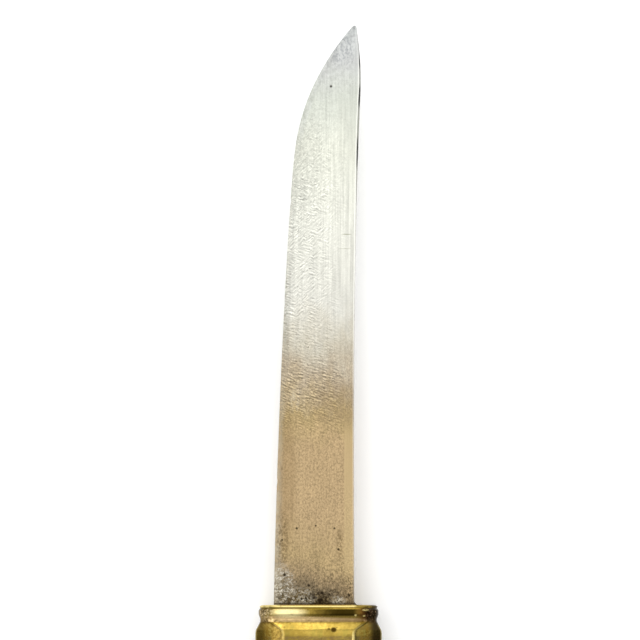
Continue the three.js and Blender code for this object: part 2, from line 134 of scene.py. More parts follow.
def add_piece(name, rings, materials, body, loop=False, zones=None, hollows=None):
    """A mesh through rings of equally many points, made into a piece that rides on a body.

    The ends are closed flat, or with loop the last ring joins the first. zones gives the material of each
    face round a ring, and hollows gives each point's depth below its neighbours, for grime and polish."""
    count = len(rings[0])
    points = np.concatenate(rings) * MM + np.array(ORIGIN)
    spans = len(rings) if loop else len(rings) - 1
    here = np.arange(count)
    faces = []
    for r in range(spans):
        a, b = r * count, (r + 1) % len(rings) * count
        after = (here + 1) % count
        faces += np.column_stack((a + here, a + after, b + after, b + here)).tolist()
    if not loop:
        faces.append(list(range(count)))
        faces.append([(len(rings) - 1) * count + i for i in range(count)])
    mesh = bpy.data.meshes.new(name)
    mesh.from_pydata(points.tolist(), [], faces)
    if zones is not None:
        picks = np.tile(zones, spans).tolist() + [0] * (len(faces) - spans * count)
        mesh.polygons.foreach_set("material_index", picks)
    if hollows is not None:
        hollow = mesh.attributes.new("hollow", "FLOAT", "POINT")
        hollow.data.foreach_set("value", np.concatenate(hollows).astype(np.float32))
    piece = bpy.data.objects.new(name, mesh)
    for material in materials:
        mesh.materials.append(material)
    bpy.context.scene.collection.objects.link(piece)
    smooth(mesh)
    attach(piece, body)
    return piece


def smooth(mesh):
    """Faces outward and shaded smooth, but for the edges that are sharp."""
    work = bmesh.new()
    work.from_mesh(mesh)
    bmesh.ops.recalc_face_normals(work, faces=work.faces)
    for face in work.faces:
        face.smooth = True
    for edge in work.edges:
        edge.smooth = edge.calc_face_angle(0) < SHARP_FROM
    work.to_mesh(mesh)
    work.free()


def cut(piece, tools):
    """Cuts the tool meshes out of a piece and removes them."""
    for tool in tools:
        modifier = piece.modifiers.new("cut", "BOOLEAN")
        modifier.operation = "DIFFERENCE"
        modifier.solver = "EXACT"
        modifier.object = tool
    graph = bpy.context.evaluated_depsgraph_get()
    made = bpy.data.meshes.new_from_object(piece.evaluated_get(graph), depsgraph=graph)
    piece.modifiers.clear()
    piece.data = made
    smooth(made)
    for tool in tools:
        bpy.data.objects.remove(tool)


def rod(radius, centre, length, sides=48):
    """A plain tool mesh along X, for cutting."""
    angles = np.linspace(0, 2 * math.pi, sides, endpoint=False)
    rings = []
    for x in (-length / 2, length / 2):
        ring = np.column_stack((np.full(sides, x), radius * np.cos(angles), radius * np.sin(angles)))
        rings.append(ring + centre)
    mesh = bpy.data.meshes.new("tool")
    points = np.concatenate(rings) * MM + np.array(ORIGIN)
    faces = [[i, (i + 1) % sides, sides + (i + 1) % sides, sides + i] for i in range(sides)]
    faces += [list(range(sides)), list(range(sides, 2 * sides))]
    mesh.from_pydata(points.tolist(), [], faces)
    smooth(mesh)
    tool = bpy.data.objects.new("tool", mesh)
    bpy.context.scene.collection.objects.link(tool)
    return tool


# ---- Sections and profiles ----

CORNER_STEPS = 6
FLAT_STEPS = 14
HOLLOW_REACH = 1.1  # how far along the knife a section is compared with the ones near it


def octagon(y, section):
    """A ring round an eight-sided section with rounded corners."""
    a, b, cut_off, soft = section
    quarter = [(a, b - cut_off), (a - cut_off, b)]
    top = quarter + [(-x, z) for x, z in reversed(quarter)]
    corners = np.array(top + [(-x, -z) for x, z in top])
    before = np.roll(corners, 1, axis=0) - corners
    after = np.roll(corners, -1, axis=0) - corners
    before = corners + before / np.linalg.norm(before, axis=1)[:, None] * soft
    after = corners + after / np.linalg.norm(after, axis=1)[:, None] * soft
    ring = []
    for i in range(8):
        t = np.linspace(0, 1, CORNER_STEPS + 1)[:, None]
        ring.append((1 - t) ** 2 * before[i] + 2 * t * (1 - t) * corners[i] + t**2 * after[i])
        t = np.linspace(0, 1, FLAT_STEPS + 1)[1:-1, None]
        ring.append((1 - t) * after[i] + t * before[(i + 1) % 8])
    flat = np.concatenate(ring)
    return np.column_stack((flat[:, 0], np.full(len(flat), float(y)), flat[:, 1]))


base_ring = octagon(0, GRIP_END)
RING_ANGLES = np.arctan2(base_ring[:, 2] / GRIP_END[1], base_ring[:, 0] / GRIP_END[0])


def oval(y, half_width, half_depth, power=2.0, shift=0.0, angles=RING_ANGLES):
    """A ring round an oval, which a higher power makes squarer."""
    cos, sin = np.cos(angles), np.sin(angles)
    x = half_width * np.sign(cos) * np.abs(cos) ** (2 / power) + shift
    z = half_depth * np.sign(sin) * np.abs(sin) ** (2 / power)
    return np.column_stack((x, np.full(len(angles), float(y)), z))


def inset(section, distance):
    """A section with every side moved inwards by the same distance."""
    return section - np.array((distance, distance, distance * (2 - math.sqrt(2)), 0))


def bead(y0, y1, section, height):
    """Stations of a half-round bead from y0 to y1, whose crest is the section itself."""
    stations = []
    for angle in np.linspace(0, math.pi, 13):
        y = (y0 + y1) / 2 + (y0 - y1) / 2 * math.cos(angle)
        stations.append((y, inset(section, height * (1 - math.sin(angle)))))
    return stations


def refined(stations, spacing, rounding):
    """Stations at an even spacing, with the profile's corners rounded off.

    Returns heights, sections, and how far each section lies below the ones near it."""
    heights = np.array([y for y, _ in stations])
    sections = np.array([section for _, section in stations])
    count = max(2, round((heights[0] - heights[-1]) / spacing) + 1)
    fine = np.linspace(heights[0], heights[-1], count)
    order = np.argsort(heights, kind="stable")
    values = np.column_stack([np.interp(fine, heights[order], sections[order, k]) for k in range(4)])
    rounded = averaged(values, max(1, round(rounding / spacing)))
    around = averaged(rounded, max(1, round(HOLLOW_REACH / spacing)))
    return fine, rounded, (around - rounded)[:, 0]


def smoothstep(value, low, high):
    t = min(max((value - low) / (high - low), 0), 1)
    return t * t * (3 - 2 * t)


def averaged(values, reach):
    """Each row averaged with its neighbours up to a number of rows away."""
    padded = np.pad(values, ((reach, reach), (0, 0)), mode="edge")
    window = np.ones(2 * reach + 1) / (2 * reach + 1)
    return np.column_stack([np.convolve(padded[:, k], window, mode="valid") for k in range(values.shape[1])])


def worn(ring, depth, grain, dents=()):
    """The ring's points moved inwards unevenly by up to a depth, and by the dents near them."""
    moved = ring.copy()
    for point, start in zip(moved, ring):
        inward = -Vector((start[0], 0, start[2])).normalized()
        amount = depth * (0.5 + 0.5 * noise.noise(Vector(start) / grain))
        for centre, radius, dent in dents:
            away = (Vector(start) - Vector(centre)).length / radius
            amount += dent * math.exp(-(away**2))
        point += np.array(inward) * amount
    return moved


# ---- Blade ----


def bezier(*points):
    """Points along a Bezier curve of any degree."""
    t = np.linspace(0, 1, 300)[:, None]
    layer = [np.array(p, float) for p in points]
    while len(layer) > 1:
        layer = [(1 - t) * a + t * b for a, b in zip(layer, layer[1:])]
    return layer[0]


edge_line = np.vstack((
    bezier((-8.5, 0), (-7.7, 43), (-5.3, 79), (-4.72, BELLY_START)),
    bezier((-4.72, BELLY_START), (-4.3, 87.5), (-3.9, 97.8), (6.55, BLADE_LENGTH)),
))
spine_line = np.vstack((
    bezier((6.75, 0), (6.5, 42), (6.7, 70), (7.95, SPINE_HIGHEST)),
    bezier((7.95, SPINE_HIGHEST), (8.2, 103), (7.15, BLADE_LENGTH)),
))

# Faces across one side of the blade: spine, spine bevel, polished arris, unground strip, ground face,
# sharpened bevel, edge. The arris is near-white, partly for its polish and partly as a painted highlight.
# The zones are indexes into ZONES, the blade's materials.
STRIP_FACES = (3, 3, 2, 7, 32, 6, 1)
STRIP_ZONES = (3, 3, 4, 2, 0, 1, 1)
ZONES = ("ground", "bevel", "strip", "spine", "arris")
NICKS = ((23.5, 0.5, 0.1), (57.0, 0.4, 0.08), (76.5, 0.6, 0.1))  # height, reach and depth of edge wear


def blade_corners(y):
    """The corners of one side of the blade's section, from the middle of the spine to the edge's middle."""
    edge = np.interp(y, edge_line[:, 1], edge_line[:, 0])
    spine = np.interp(y, spine_line[:, 1], spine_line[:, 0])
    width = spine - edge
    for height, reach, depth in NICKS:
        edge += depth * math.exp(-(((y - height) / reach) ** 2))
    s = min(max(y / BLADE_LENGTH, 0), 1)
    half = BLADE_THICKNESS / 2 * (1 - DISTAL_TAPER * s - TIP_TAPER * s**10)
    nearness = math.exp(-(((y - SPINE_BEVEL["middle"]) / SPINE_BEVEL["spread"]) ** 2))
    spine_bevel = SPINE_BEVEL["width"] * nearness * min(1, width / SPINE_BEVEL["full_from"])
    chamfer = SPINE_BREAK + spine_bevel
    chamfer_depth = min(half * 0.6, SPINE_BREAK + spine_bevel * SPINE_BEVEL["slope"])
    flat = min(FLAT_WIDTH, width * STRIP_SHARE)
    bevel = min(BEVEL_WIDTH, width * STRIP_SHARE)
    bevel_half = min(CORNER_BREAK + BEVEL_SLOPE * bevel, half * 0.75)
    return np.array((
        (spine, 0),
        (spine, half - chamfer_depth),
        (spine - chamfer, half),
        (spine - chamfer - min(ARRIS, flat / 2), half),
        (spine - chamfer - flat, half),
        (edge + bevel, bevel_half),
        (edge, EDGE_THICKNESS / 2),
        (edge, 0),
    ))


def blade_ring(y):
    """One ring of the blade, with the slight unevenness of hand grinding on its broad faces."""
    corners = blade_corners(y)
    side = [corners[:1]]
    for start, end, faces in zip(corners, corners[1:], STRIP_FACES):
        t = np.linspace(0, 1, faces + 1)[1:, None]
        side.append((1 - t) * start + t * end)
    side = np.concatenate(side)
    ring = []
    for z_sign, points in ((1, side), (-1, side[-2:0:-1])):
        for x, z in points:
            uneven = 0.012 * noise.noise(Vector((x / 4, y / 7, z_sign * 5.0)))
            flare = HEEL_FLARE * max(0, 1 - y / 0.9) ** 2 * smoothstep(x, 4.8, 6.6) if y > 0 else 0
            ring.append((x + flare, y, z_sign * (z + uneven * min(1, z / 0.6))))
    return np.array(ring)


def add_blade(finishes):
    heights = [-PLATE, -0.3, -0.01, *np.arange(0.02, 1, 0.14), *np.arange(1.2, BLADE_LENGTH - 1, 0.45)]
    rings = [blade_ring(y) for y in heights]
    for share in np.linspace(0, 1, 9):
        ring = blade_ring(BLADE_LENGTH - 1 + share)
        middle = ring.mean(axis=0)
        shrink = math.sqrt(max(0.02, 1 - max(0, (share - 0.7) / 0.3) ** 2))
        rings.append(middle + (ring - middle) * (shrink, 1, shrink))
    zones = np.repeat(STRIP_ZONES, STRIP_FACES)
    zones = np.concatenate((zones, zones[::-1]))
    blade = add_piece("blade_steel", rings, finishes, "knife", zones=zones)
    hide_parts("blade")


def add_tang(finish):
    """The tang under the handle, which is round where it leaves the cap and is hammered over the burr."""
    thick = TANG["thickness"] / 2
    end = TANG["end_radius"]
    round_from = POMMEL_END + PLATE + WASHER + 3
    peen_from = POMMEL_END - BURR["thickness"] - 2 * CLEARANCE
    rings = [
        oval(-PLATE - 0.02, TANG["shoulder"], thick, 8, TANG["offset"]),
        oval(TANG["waist_at"], TANG["waist"], thick, 8, TANG["offset"] / 2),
        oval(round_from, end, thick, 8),
        oval(round_from - 1, end, end, 2.5),
        oval(peen_from + 0.05, end, end),
        oval(peen_from, end, end),
    ]
    for angle in np.linspace(0, math.pi / 2, 12)[:-1]:
        radius = PEEN["radius"] * math.cos(angle) ** 0.8
        ring = oval(peen_from - PEEN["height"] * math.sin(angle), radius, radius)
        rings.append(worn(ring, 0.16, 0.9))
    add_piece("tang", rings, [finish], "knife")


# ---- Ferrule ----

BRASS_WEAR = (0.05, 3.0)  # depth and grain
CORNER_WEAR = 0.14
GROOVE = inset(GRIP_END, 0.3)  # beside each rolled bead

FERRULE_DENTS = (
    ((2.9, -4.7, 9.0), 0.5, 0.14),
    ((0.9, -4.9, 9.0), 0.4, 0.08),
    ((-5.6, -5.4, 9.0), 0.6, 0.10),
    ((7.4, -1.3, 8.3), 0.7, 0.16),
    ((-9.6, -0.9, 6.4), 0.8, 0.12),
    ((4.4, -12.6, 9.1), 1.1, 0.14),
    ((-3.2, -16.4, 9.1), 0.8, 0.12),
    ((-6.0, -9.0, -9.1), 1.2, 0.15),
    ((3.5, -4.8, -9.0), 0.7, 0.14),
    ((11.9, -9.5, 1.5), 0.9, 0.12),
)


def ferrule_stations():
    return [
        (0, inset(LIP, 0.7)),
        (-0.06, inset(LIP, 0.36)),
        (-0.18, inset(LIP, 0.2)),
        (-0.46, inset(LIP, 0.2)),
        (-0.57, inset(LIP, 0.36)),
        (-0.66, inset(LIP, 0.3)),
        (-0.85, inset(LIP, 0.05)),
        (-1.15, LIP),
        (-1.75, LIP),
        (-2.6, NECK),
        (-3.1, NECK),
        (-3.35, NECK + (COLLAR - NECK) * 0.12),
        (-4.75, NECK + (COLLAR - NECK) * 0.92),
        (-5.4, COLLAR),
        (-18.2, GRIP_END),
        (-18.5, GROOVE),
        *bead(-18.9, -21.2, ROLL, BEAD_HEIGHT),
        (-21.5, GROOVE),
        (-FERRULE_LENGTH, GROOVE),
    ]


def corner_wear(depth):
    """How far an eight-sided ring's points stand proud, which is at its corners, as a negative hollow."""
    corner = np.sin(np.linspace(0, math.pi, CORNER_STEPS + 1))
    return -depth * np.tile(np.concatenate((corner, np.zeros(FLAT_STEPS - 1))), 8)


def crowned(ring, rise):
    """The ring with its broad faces arched by a rise, which takes down their sides."""
    arched = ring.copy()
    across = np.minimum(np.abs(ring[:, 0]) / (COLLAR[0] - COLLAR[2] / 2), 1.1)
    share = np.abs(ring[:, 2]) / np.abs(ring[:, 2]).max()
    arched[:, 2] -= np.sign(ring[:, 2]) * rise * across**2 * share
    return arched


def slot_outline():
    """Half width, half depth and middle of the blade's outline through the top plate."""
    corners = blade_corners(0)
    edge, spine = corners[-1, 0], corners[0, 0]
    return (spine - edge) / 2, BLADE_THICKNESS / 2, (spine + edge) / 2


def add_ferrule(finish):
    heights, sections, hollows = refined(ferrule_stations(), 0.1, 0.1)
    outer = []
    for y, section in zip(heights, sections):
        ring = crowned(octagon(y, section), CROWN * smoothstep(y, -17.5, -12))
        outer.append(worn(ring, *BRASS_WEAR, FERRULE_DENTS))
    half_width, half_depth, middle = slot_outline()
    slot = [
        oval(y, half_width + SLOT_GAP, half_depth + SLOT_GAP, 8, middle)
        for y in (-PLATE, -PLATE + 0.1, -0.1, 0)
    ]
    plate = [slot[-1] + (outer[0] - slot[-1]) * t for t in (0.02, 0.3, 0.6, 0.9, 0.98)]
    inside = [
        octagon(-FERRULE_LENGTH, inset(GRIP_END, MOUTH_WALL)),
        octagon(-6, inset(COLLAR, WALL)),
        octagon(-3.2, inset(NECK, WALL)),
        octagon(-PLATE, inset(NECK, WALL)),
    ]
    rings = slot + plate + outer + inside
    plain = np.zeros(len(outer[0]))
    wear = corner_wear(CORNER_WEAR)
    depths = [plain + 0.25] * (len(slot) + 1) + [plain] * (len(plate) - 1)
    depths += [wear + max(h, 0) for h in hollows] + [plain] * len(inside)
    ferrule = add_piece("ferrule_brass", rings, [finish], "knife", loop=True, hollows=depths)
    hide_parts("ferrule")


def add_packing(finish):
    """The pitch in the ferrule's slot, which has sunk and cracked unevenly round the blade."""
    half_width, half_depth, middle = slot_outline()
    gaps = (CLEARANCE, SLOT_GAP - CLEARANCE)
    rings = []
    for gap, y in ((gaps[0], -PLATE + 0.05), (gaps[1], -PLATE + 0.05), (gaps[1], -0.12), (gaps[0], -0.12)):
        rings.append(oval(y, half_width + gap, half_depth + gap, 8, middle))
    for ring in rings[2:]:
        for point in ring:
            point[1] -= 0.18 * (0.5 + 0.5 * noise.noise(Vector(point) / 0.8))
    packing = add_piece("slot_pitch", rings, [finish], "knife", loop=True)
    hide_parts("seat_packing")


# ---- Grip ----

GRIP_DENTS = (
    ((5.5, -41.0, 9.3), 0.9, 0.14),
    ((-2.5, -63.5, 9.3), 1.3, 0.16),
    ((11.2, -50.0, 5.5), 0.9, 0.14),
    ((-11.4, -35.0, 5.0), 1.0, 0.15),
    ((2.0, -72.0, -9.3), 1.1, 0.15),
)


def grip_section(y):
    """Swelling in the palm, with the two broad flats kept level."""
    t = (y + FERRULE_LENGTH) / (POMMEL_FRONT + FERRULE_LENGTH)
    swell = math.sin(math.pi * min(max(t, 0), 1)) ** 1.4
    made = GRIP_END + GRIP_SWELL * swell
    made[1] += (HALF_THICKNESS - GRIP_END[1]) * smoothstep(min(t, 1 - t), 0, 0.16)
    return made


def tang_hole(y):
    """A ring of the slot through the grip."""
    share = (1 - y) / (1 - (POMMEL_END - 1))
    half_width = TANG["shoulder"] + (TANG["waist"] - TANG["shoulder"]) * share + TANG_HOLE_GAP
    return oval(y, half_width, TANG["thickness"] / 2 + TANG_HOLE_GAP, 8, TANG["offset"] * (1 - share))


def add_grip(finish):
    front, rear = -FERRULE_LENGTH - CLEARANCE, POMMEL_FRONT + CLEARANCE
    first, last = -PLATE - WASHER - 2 * CLEARANCE, POMMEL_END + PLATE + WASHER + 2 * CLEARANCE
    tenon = inset(GRIP_END, WALL + CLEARANCE)
    rings = [
        octagon(first, inset(NECK, WALL + CLEARANCE)),
        octagon(-3.2, inset(NECK, WALL + CLEARANCE)),
        octagon(-6, inset(COLLAR, WALL + CLEARANCE)),
        octagon(front, inset(GRIP_END, MOUTH_WALL + CLEARANCE)),
    ]
    for y in np.linspace(front, rear, 190):
        easing = 0.22 * max(0, 1 - min(front - y, y - rear) / 0.35) ** 2
        rings.append(worn(octagon(y, inset(grip_section(y), easing)), 0.045, 4.0, GRIP_DENTS))
    rings += [octagon(rear, tenon), octagon(POMMEL_END + DOME["length"], tenon)]
    rings += [octagon(last, inset(GRIP_END, DOME_WALL + CLEARANCE)), tang_hole(last), tang_hole(first)]
    grip = add_piece("grip_hardwood", rings, [finish], "knife", loop=True)
    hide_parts("grip")


# ---- Pommel cap and burr ----

CAP_DENTS = (
    ((3.5, -104.8, 7.6), 0.8, 0.14),
    ((-6.5, -103.5, 8.0), 0.9, 0.12),
    ((-5.0, -96.0, 9.1), 1.1, 0.12),
    ((8.5, -105.0, -3.5), 1.0, 0.15),
    ((4.0, -99.0, -9.1), 1.0, 0.13),
)


def dome_section(s):
    """The cap's section over its rounded end, from s = 0 at the side to s = 1 at the end face."""
    turn = 1 - math.sqrt(1 - (s * DOME["turn"]) ** 2)
    made = inset(GRIP_END, turn * DOME["inset"])
    made[3] = 0.6
    return made


def raised(ring):
    """The ring with the round pads that the bail's eyes turn against, pressed out of the cap's sides."""
    for point in ring:
        away = math.hypot(point[1] - PIVOT["y"], point[2])
        lift = 1 - smoothstep(away, BOSS["radius"] - 0.25, BOSS["radius"] + 0.3)
        side = math.copysign(1, point[0])
        target = side * (GRIP_END[0] + BOSS["height"])
        if abs(point[0]) > GRIP_END[0] - 1.2:
            point[0] += (target - point[0]) * lift
    return ring


def add_pommel_cap(finish):
    front = [
        (POMMEL_FRONT, GROOVE),
        (POMMEL_FRONT - 0.5, GROOVE),
        *bead(POMMEL_FRONT - 0.8, POMMEL_FRONT - 3.1, ROLL, BEAD_HEIGHT),
        (POMMEL_FRONT - 3.5, GROOVE),
        (POMMEL_FRONT - 3.8, dome_section(0)),
    ]
    shares = np.arange(21) / 20
    dome = [(POMMEL_END + DOME["length"] * (1 - s), dome_section(s)) for s in shares]
    heights, sections, hollows = refined(front + dome, 0.14, 0.16)
    outer = [raised(worn(octagon(y, s), *BRASS_WEAR, CAP_DENTS)) for y, s in zip(heights, sections)]
    hole = TANG["end_radius"] + ROUND_HOLE_GAP
    face_hole = oval(POMMEL_END, hole, hole)
    end_face = [outer[-1] + (face_hole - outer[-1]) * t for t in (0.03, 0.35, 0.7, 0.97)]
    inside = [
        face_hole,
        oval(POMMEL_END + PLATE, hole, hole),
        octagon(POMMEL_END + PLATE, inset(GRIP_END, DOME_WALL)),
        octagon(POMMEL_END + DOME["length"], inset(GRIP_END, WALL)),
        octagon(POMMEL_FRONT, inset(GRIP_END, WALL)),
    ]
    rings = outer + end_face + inside
    plain = np.zeros(len(outer[0]))
    wear = corner_wear(CORNER_WEAR)
    grimed = [max(h, 0) * smoothstep(y, POMMEL_END + 1, POMMEL_END + 3) for y, h in zip(heights, hollows)]
    hollows = [wear + depth for depth in grimed] + [plain + depth for depth in (-0.06, 0, 0.06, 0.16)]
    hollows += [plain] * len(inside)
    cap = add_piece("pommel_brass", rings, [finish], "knife", loop=True, hollows=hollows)
    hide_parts("pommel_cap")


def add_burr(finish):
    """The washer under the tang's hammered end, its rim softened by the hammer."""
    top = POMMEL_END - CLEARANCE
    bottom = top - BURR["thickness"]
    hole = TANG["end_radius"] + ROUND_HOLE_GAP
    profile = [(hole, top), (BURR["radius"], top)]
    for angle in np.linspace(0, math.pi / 2, 7):
        radius = BURR["radius"] - BURR["chamfer"] * (1 - math.cos(angle))
        profile.append((radius, bottom + BURR["chamfer"] * (1 - math.sin(angle))))
    profile += [(hole, bottom)]
    rings = [worn(oval(y, r, r), 0.06 if r > hole else 0, 1.1) for r, y in profile]
    burr = add_piece("burr_brass", rings, [finish], "knife", loop=True)
    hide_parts("tang_burr")


# ---- Rivets ----

ROUND_ANGLES = np.linspace(0, 2 * math.pi, 56, endpoint=False)


def across(ring, side):
    """A ring that was made round +Y, turned to lie round the X axis on one side of the knife."""
    return np.column_stack((side * ring[:, 1], ring[:, 0], ring[:, 2]))


def add_rivet(name, node, rivet, face, finish):
    """A round-headed rivet in each side of the handle, whose heads sit on the planes x = +face and -face."""
    tip = GRIP_END[0] - rivet["depth"] + 2 * CLEARANCE
    profile = [(tip, rivet["radius"] * 0.7), (tip + 0.3, rivet["radius"]), (face, rivet["radius"])]
    profile.append((face, rivet["head"] * 0.96))
    for angle in np.linspace(0, math.pi / 2, 12)[:-1]:
        x = face + 0.12 + (rivet["head_height"] - 0.12) * math.sin(angle)
        profile.append((x, rivet["head"] * math.cos(angle) ** 0.85))
    for word, side in (("left", -1), ("right", 1)):
        rings = []
        for x, radius in profile:
            ring = across(worn(oval(x, radius, radius, angles=ROUND_ANGLES), 0.05, 0.8), side)
            rings.append(ring + (0, rivet["y"], 0))
        piece = add_piece(f"{name}_{word}", rings, [finish], "knife")
        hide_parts(f"{node}_{word}")


# ---- Bail ----


def bail_centreline():
    """Points down one leg from the eye's far side, round the loop and back, in the bail's own plane."""
    leg_x, leg, eye = BAIL["leg_x"], BAIL["leg"], BAIL["eye_radius"]
    down = [(leg_x, y) for y in np.arange(eye - 0.01, -leg, -0.16)]
    bend = [(leg_x * math.cos(t), -leg - leg_x * math.sin(t)) for t in np.linspace(0, math.pi, 190)]
    return np.array(down + bend + [(-x, y) for x, y in reversed(down)])


def add_bail(finish):
    """A wire loop whose two ends are forged flat into eyes."""
    path = bail_centreline()
    along = np.gradient(path, axis=0)
    along /= np.linalg.norm(along, axis=1)[:, None]
    eye, wire = BAIL["eye_radius"], BAIL["wire"]
    drop = math.asin((HALF_THICKNESS - wire) / (BAIL["leg"] + BAIL["leg_x"]))
    turn = np.array(((1, 0, 0), (0, math.cos(drop), -math.sin(drop)), (0, math.sin(drop), math.cos(drop))))
    rings = []
    for (x, y), (dx, dy) in zip(path, along):
        at_eye = 1 - smoothstep(-y, eye * 0.7, eye * 1.5)
        disc = math.sqrt(max(0, eye**2 - y**2)) if abs(y) < eye else 0
        half_depth = max(disc, wire * (1 - math.exp(-max(0, eye - y)))) if y > -2 * eye else wire
        half_width = wire + (BAIL["eye_half"] - wire) * at_eye
        power = 2 + 5 * at_eye
        shape = oval(0, half_width, half_depth, power, angles=ROUND_ANGLES)
        points = np.column_stack((x - dy * shape[:, 0], y + dx * shape[:, 0], shape[:, 2]))
        rings.append(points @ turn.T + (0, PIVOT["y"], 0))
    bail = add_piece("bail_brass", rings, [finish], "bail")
    cut(bail, [rod(PIVOT["radius"] + CLEARANCE, (0, PIVOT["y"], 0), 4 * BAIL["leg_x"])])
    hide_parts("bail")


# ---- Finishes ----


def rgb(code):
    """A colour from its hex code, in the renderer's linear values."""
    channels = [int(code[i : i + 2], 16) / 255 for i in (0, 2, 4)]
    return (*[c / 12.92 if c <= 0.04045 else ((c + 0.055) / 1.055) ** 2.4 for c in channels], 1.0)


class Value:
    """A number that varies over a surface, which arithmetic and span turn into others."""

    def __init__(self, finish, socket):
        self.finish = finish
        self.socket = socket

    def __add__(self, other):
        return self.finish.maths("ADD", self, other)

    def __sub__(self, other):
        return self.finish.maths("SUBTRACT", self, other)

    def __mul__(self, other):
        return self.finish.maths("MULTIPLY", self, other)

    def __truediv__(self, other):
        return self.finish.maths("DIVIDE", self, other)

    def span(self, low, high, to_low=0.0, to_high=1.0):
        """The value carried smoothly from between low and high to between two others."""
        made = self.finish.node("MapRange", {"interpolation_type": "SMOOTHSTEP"}, Value=self)
        for key, number in zip(("From Min", "From Max", "To Min", "To Max"), (low, high, to_low, to_high)):
            self.finish.feed(made.inputs[key], number)
        return Value(self.finish, made.outputs["Result"])


class Finish:
    """A material's nodes, with a short call for each kind of node that the finishes use.

    place is the point on the knife, in millimetres in the knife's own axes, and x, y and z are its parts.
    colour is the base colour so far, which ramp starts and tint, shade and relieve work over."""

    def __init__(self, name, **sockets):
        self.material = bpy.data.materials.new(name)
        self.material.use_nodes = True
        self.tree = self.material.node_tree
        self.shader = self.tree.nodes["Principled BSDF"]
        for socket, value in sockets.items():
            self.shader.inputs[socket.replace("_", " ").title().replace("Ior", "IOR")].default_value = value
        object_place = self.node("TexCoord").outputs["Object"]
        moved = self.vector("SUBTRACT", object_place, tuple(ORIGIN))
        self.place = self.vector("MULTIPLY", moved, (1 / MM,) * 3)
        split = self.node("SeparateXYZ", Vector=self.place)
        self.x, self.y, self.z = [Value(self, output) for output in split.outputs]
        self.colour = None

    def node(self, kind, settings=None, **inputs):
        made = self.tree.nodes.new("ShaderNode" + kind)
        for key, value in (settings or {}).items():
            setattr(made, key, value)
        for key, value in inputs.items():
            self.feed(made.inputs[key], value)
        return made

    def feed(self, socket, value):
        if isinstance(value, Value):
            value = value.socket
        if isinstance(value, bpy.types.NodeSocket):
            self.tree.links.new(value, socket)
        else:
            socket.default_value = value

    def vector(self, operation, a, b):
        made = self.node("VectorMath", {"operation": operation})
        self.feed(made.inputs[0], a)
        self.feed(made.inputs[1], b)
        return made.outputs[0]

    def maths(self, operation, a, b=0.0):
        made = self.node("Math", {"operation": operation})
        self.feed(made.inputs[0], a)
        self.feed(made.inputs[1], b)
        return Value(self, made.outputs[0])

    def most(self, value, *others):
        """The greatest of some values."""
        for other in others:
            value = self.maths("MAXIMUM", value, other)
        return value

    def noise(self, across, along, detail, roughness, distortion=0.0, offset=0.0, deep=None):
        """Cloud noise, from its waves per millimetre: as many deep as across, unless deep is given."""
        scaled = self.vector("MULTIPLY", self.place, (across, along, deep or across))
        if offset:
            scaled = self.vector("ADD", scaled, (offset, offset * 1.7, offset * 0.6))
        made = self.node("TexNoise", Vector=scaled, Scale=1.0, Detail=detail, Roughness=roughness)
        made.inputs["Distortion"].default_value = distortion
        return Value(self, made.outputs["Fac"])

    def dots(self, per_mm, radius, share, offset=0.0):
        """1 inside scattered round dots: a share of the cells of a grid of that many cells a millimetre."""
        scaled = self.vector("MULTIPLY", self.place, (per_mm,) * 3)
        scaled = self.vector("ADD", scaled, (offset, -offset, offset * 0.5))
        cells = self.node("TexVoronoi", Vector=scaled, Scale=1.0)
        near = Value(self, cells.outputs["Distance"]).span(radius * per_mm, radius * per_mm * 0.5)
        chance = self.node("SeparateColor", Color=cells.outputs["Color"]).outputs[0]
        return near * self.maths("LESS_THAN", chance, share)

    def ramp(self, factor, stops):
        """Starts the colour as a run of colours along a factor."""
        made = self.node("ValToRGB", Fac=factor)
        elements = made.color_ramp.elements
        while len(elements) < len(stops):
            elements.new(0.5)
        for element, (position, code) in zip(elements, stops):
            element.position = position
            element.color = rgb(code)
        self.colour = made.outputs["Color"]

    def mixed(self, factor, a, b):
        made = self.node("Mix", {"data_type": "RGBA"})
        for index, value in ((0, factor), (6, a), (7, b)):
            self.feed(made.inputs[index], value)
        return made.outputs[2]

    def tint(self, amount, code):
        """Lays another colour over the colour, by an amount between 0 and 1."""
        self.colour = self.mixed(amount, self.colour, rgb(code))

    def shade(self, value, low, high):
        """Makes the colour darker or lighter as a value between 0 and 1 goes from low to high brightness."""
        made = self.node("VectorMath", {"operation": "SCALE"})
        self.feed(made.inputs[0], self.colour)
        self.feed(made.inputs["Scale"], value * (high - low) + low)
        self.colour = made.outputs[0]

    def relieve(self, value, depth):
        """Makes the colour lighter and darker by a value about a half, by up to half of a depth."""
        self.shade((value - 0.5) * depth, 1, 2)

    def spot(self, x, y, radius):
        """1 at a place on the knife, falling to 0 at a radius, on both sides."""
        away = self.node("VectorMath", {"operation": "DISTANCE"})
        self.feed(away.inputs[0], self.vector("MULTIPLY", self.place, (1, 1, 0)))
        away.inputs[1].default_value = (x, y, 0)
        return Value(self, away.outputs["Value"]).span(radius, radius * 0.35)

    def patch(self, x, y, half_width, half_length):
        """1 at a place on the knife's flats, falling to 0 at an oval round it."""
        across = (self.x - x) / half_width
        along = (self.y - y) / half_length
        return (across * across + along * along).span(1, 0.05)

    def finish(self, roughness, height, relief):
        """Connects the colour, the roughness, and bumps of a height in millimetres."""
        self.feed(self.shader.inputs["Base Color"], self.colour)
        self.feed(self.shader.inputs["Roughness"], roughness)
        bump = self.node("Bump", Height=height, Strength=1.0, Distance=relief * MM)
        self.feed(self.shader.inputs["Normal"], bump.outputs["Normal"])
        return self.material


# The edge's straight part starts at x = EDGE_FOOT and leans towards the spine on its way up. EDGE_LEAN takes
# that lean out again, so that x + y * EDGE_LEAN stays the same along the edge.
EDGE_FOOT = -8.5
EDGE_LEAN = -0.016

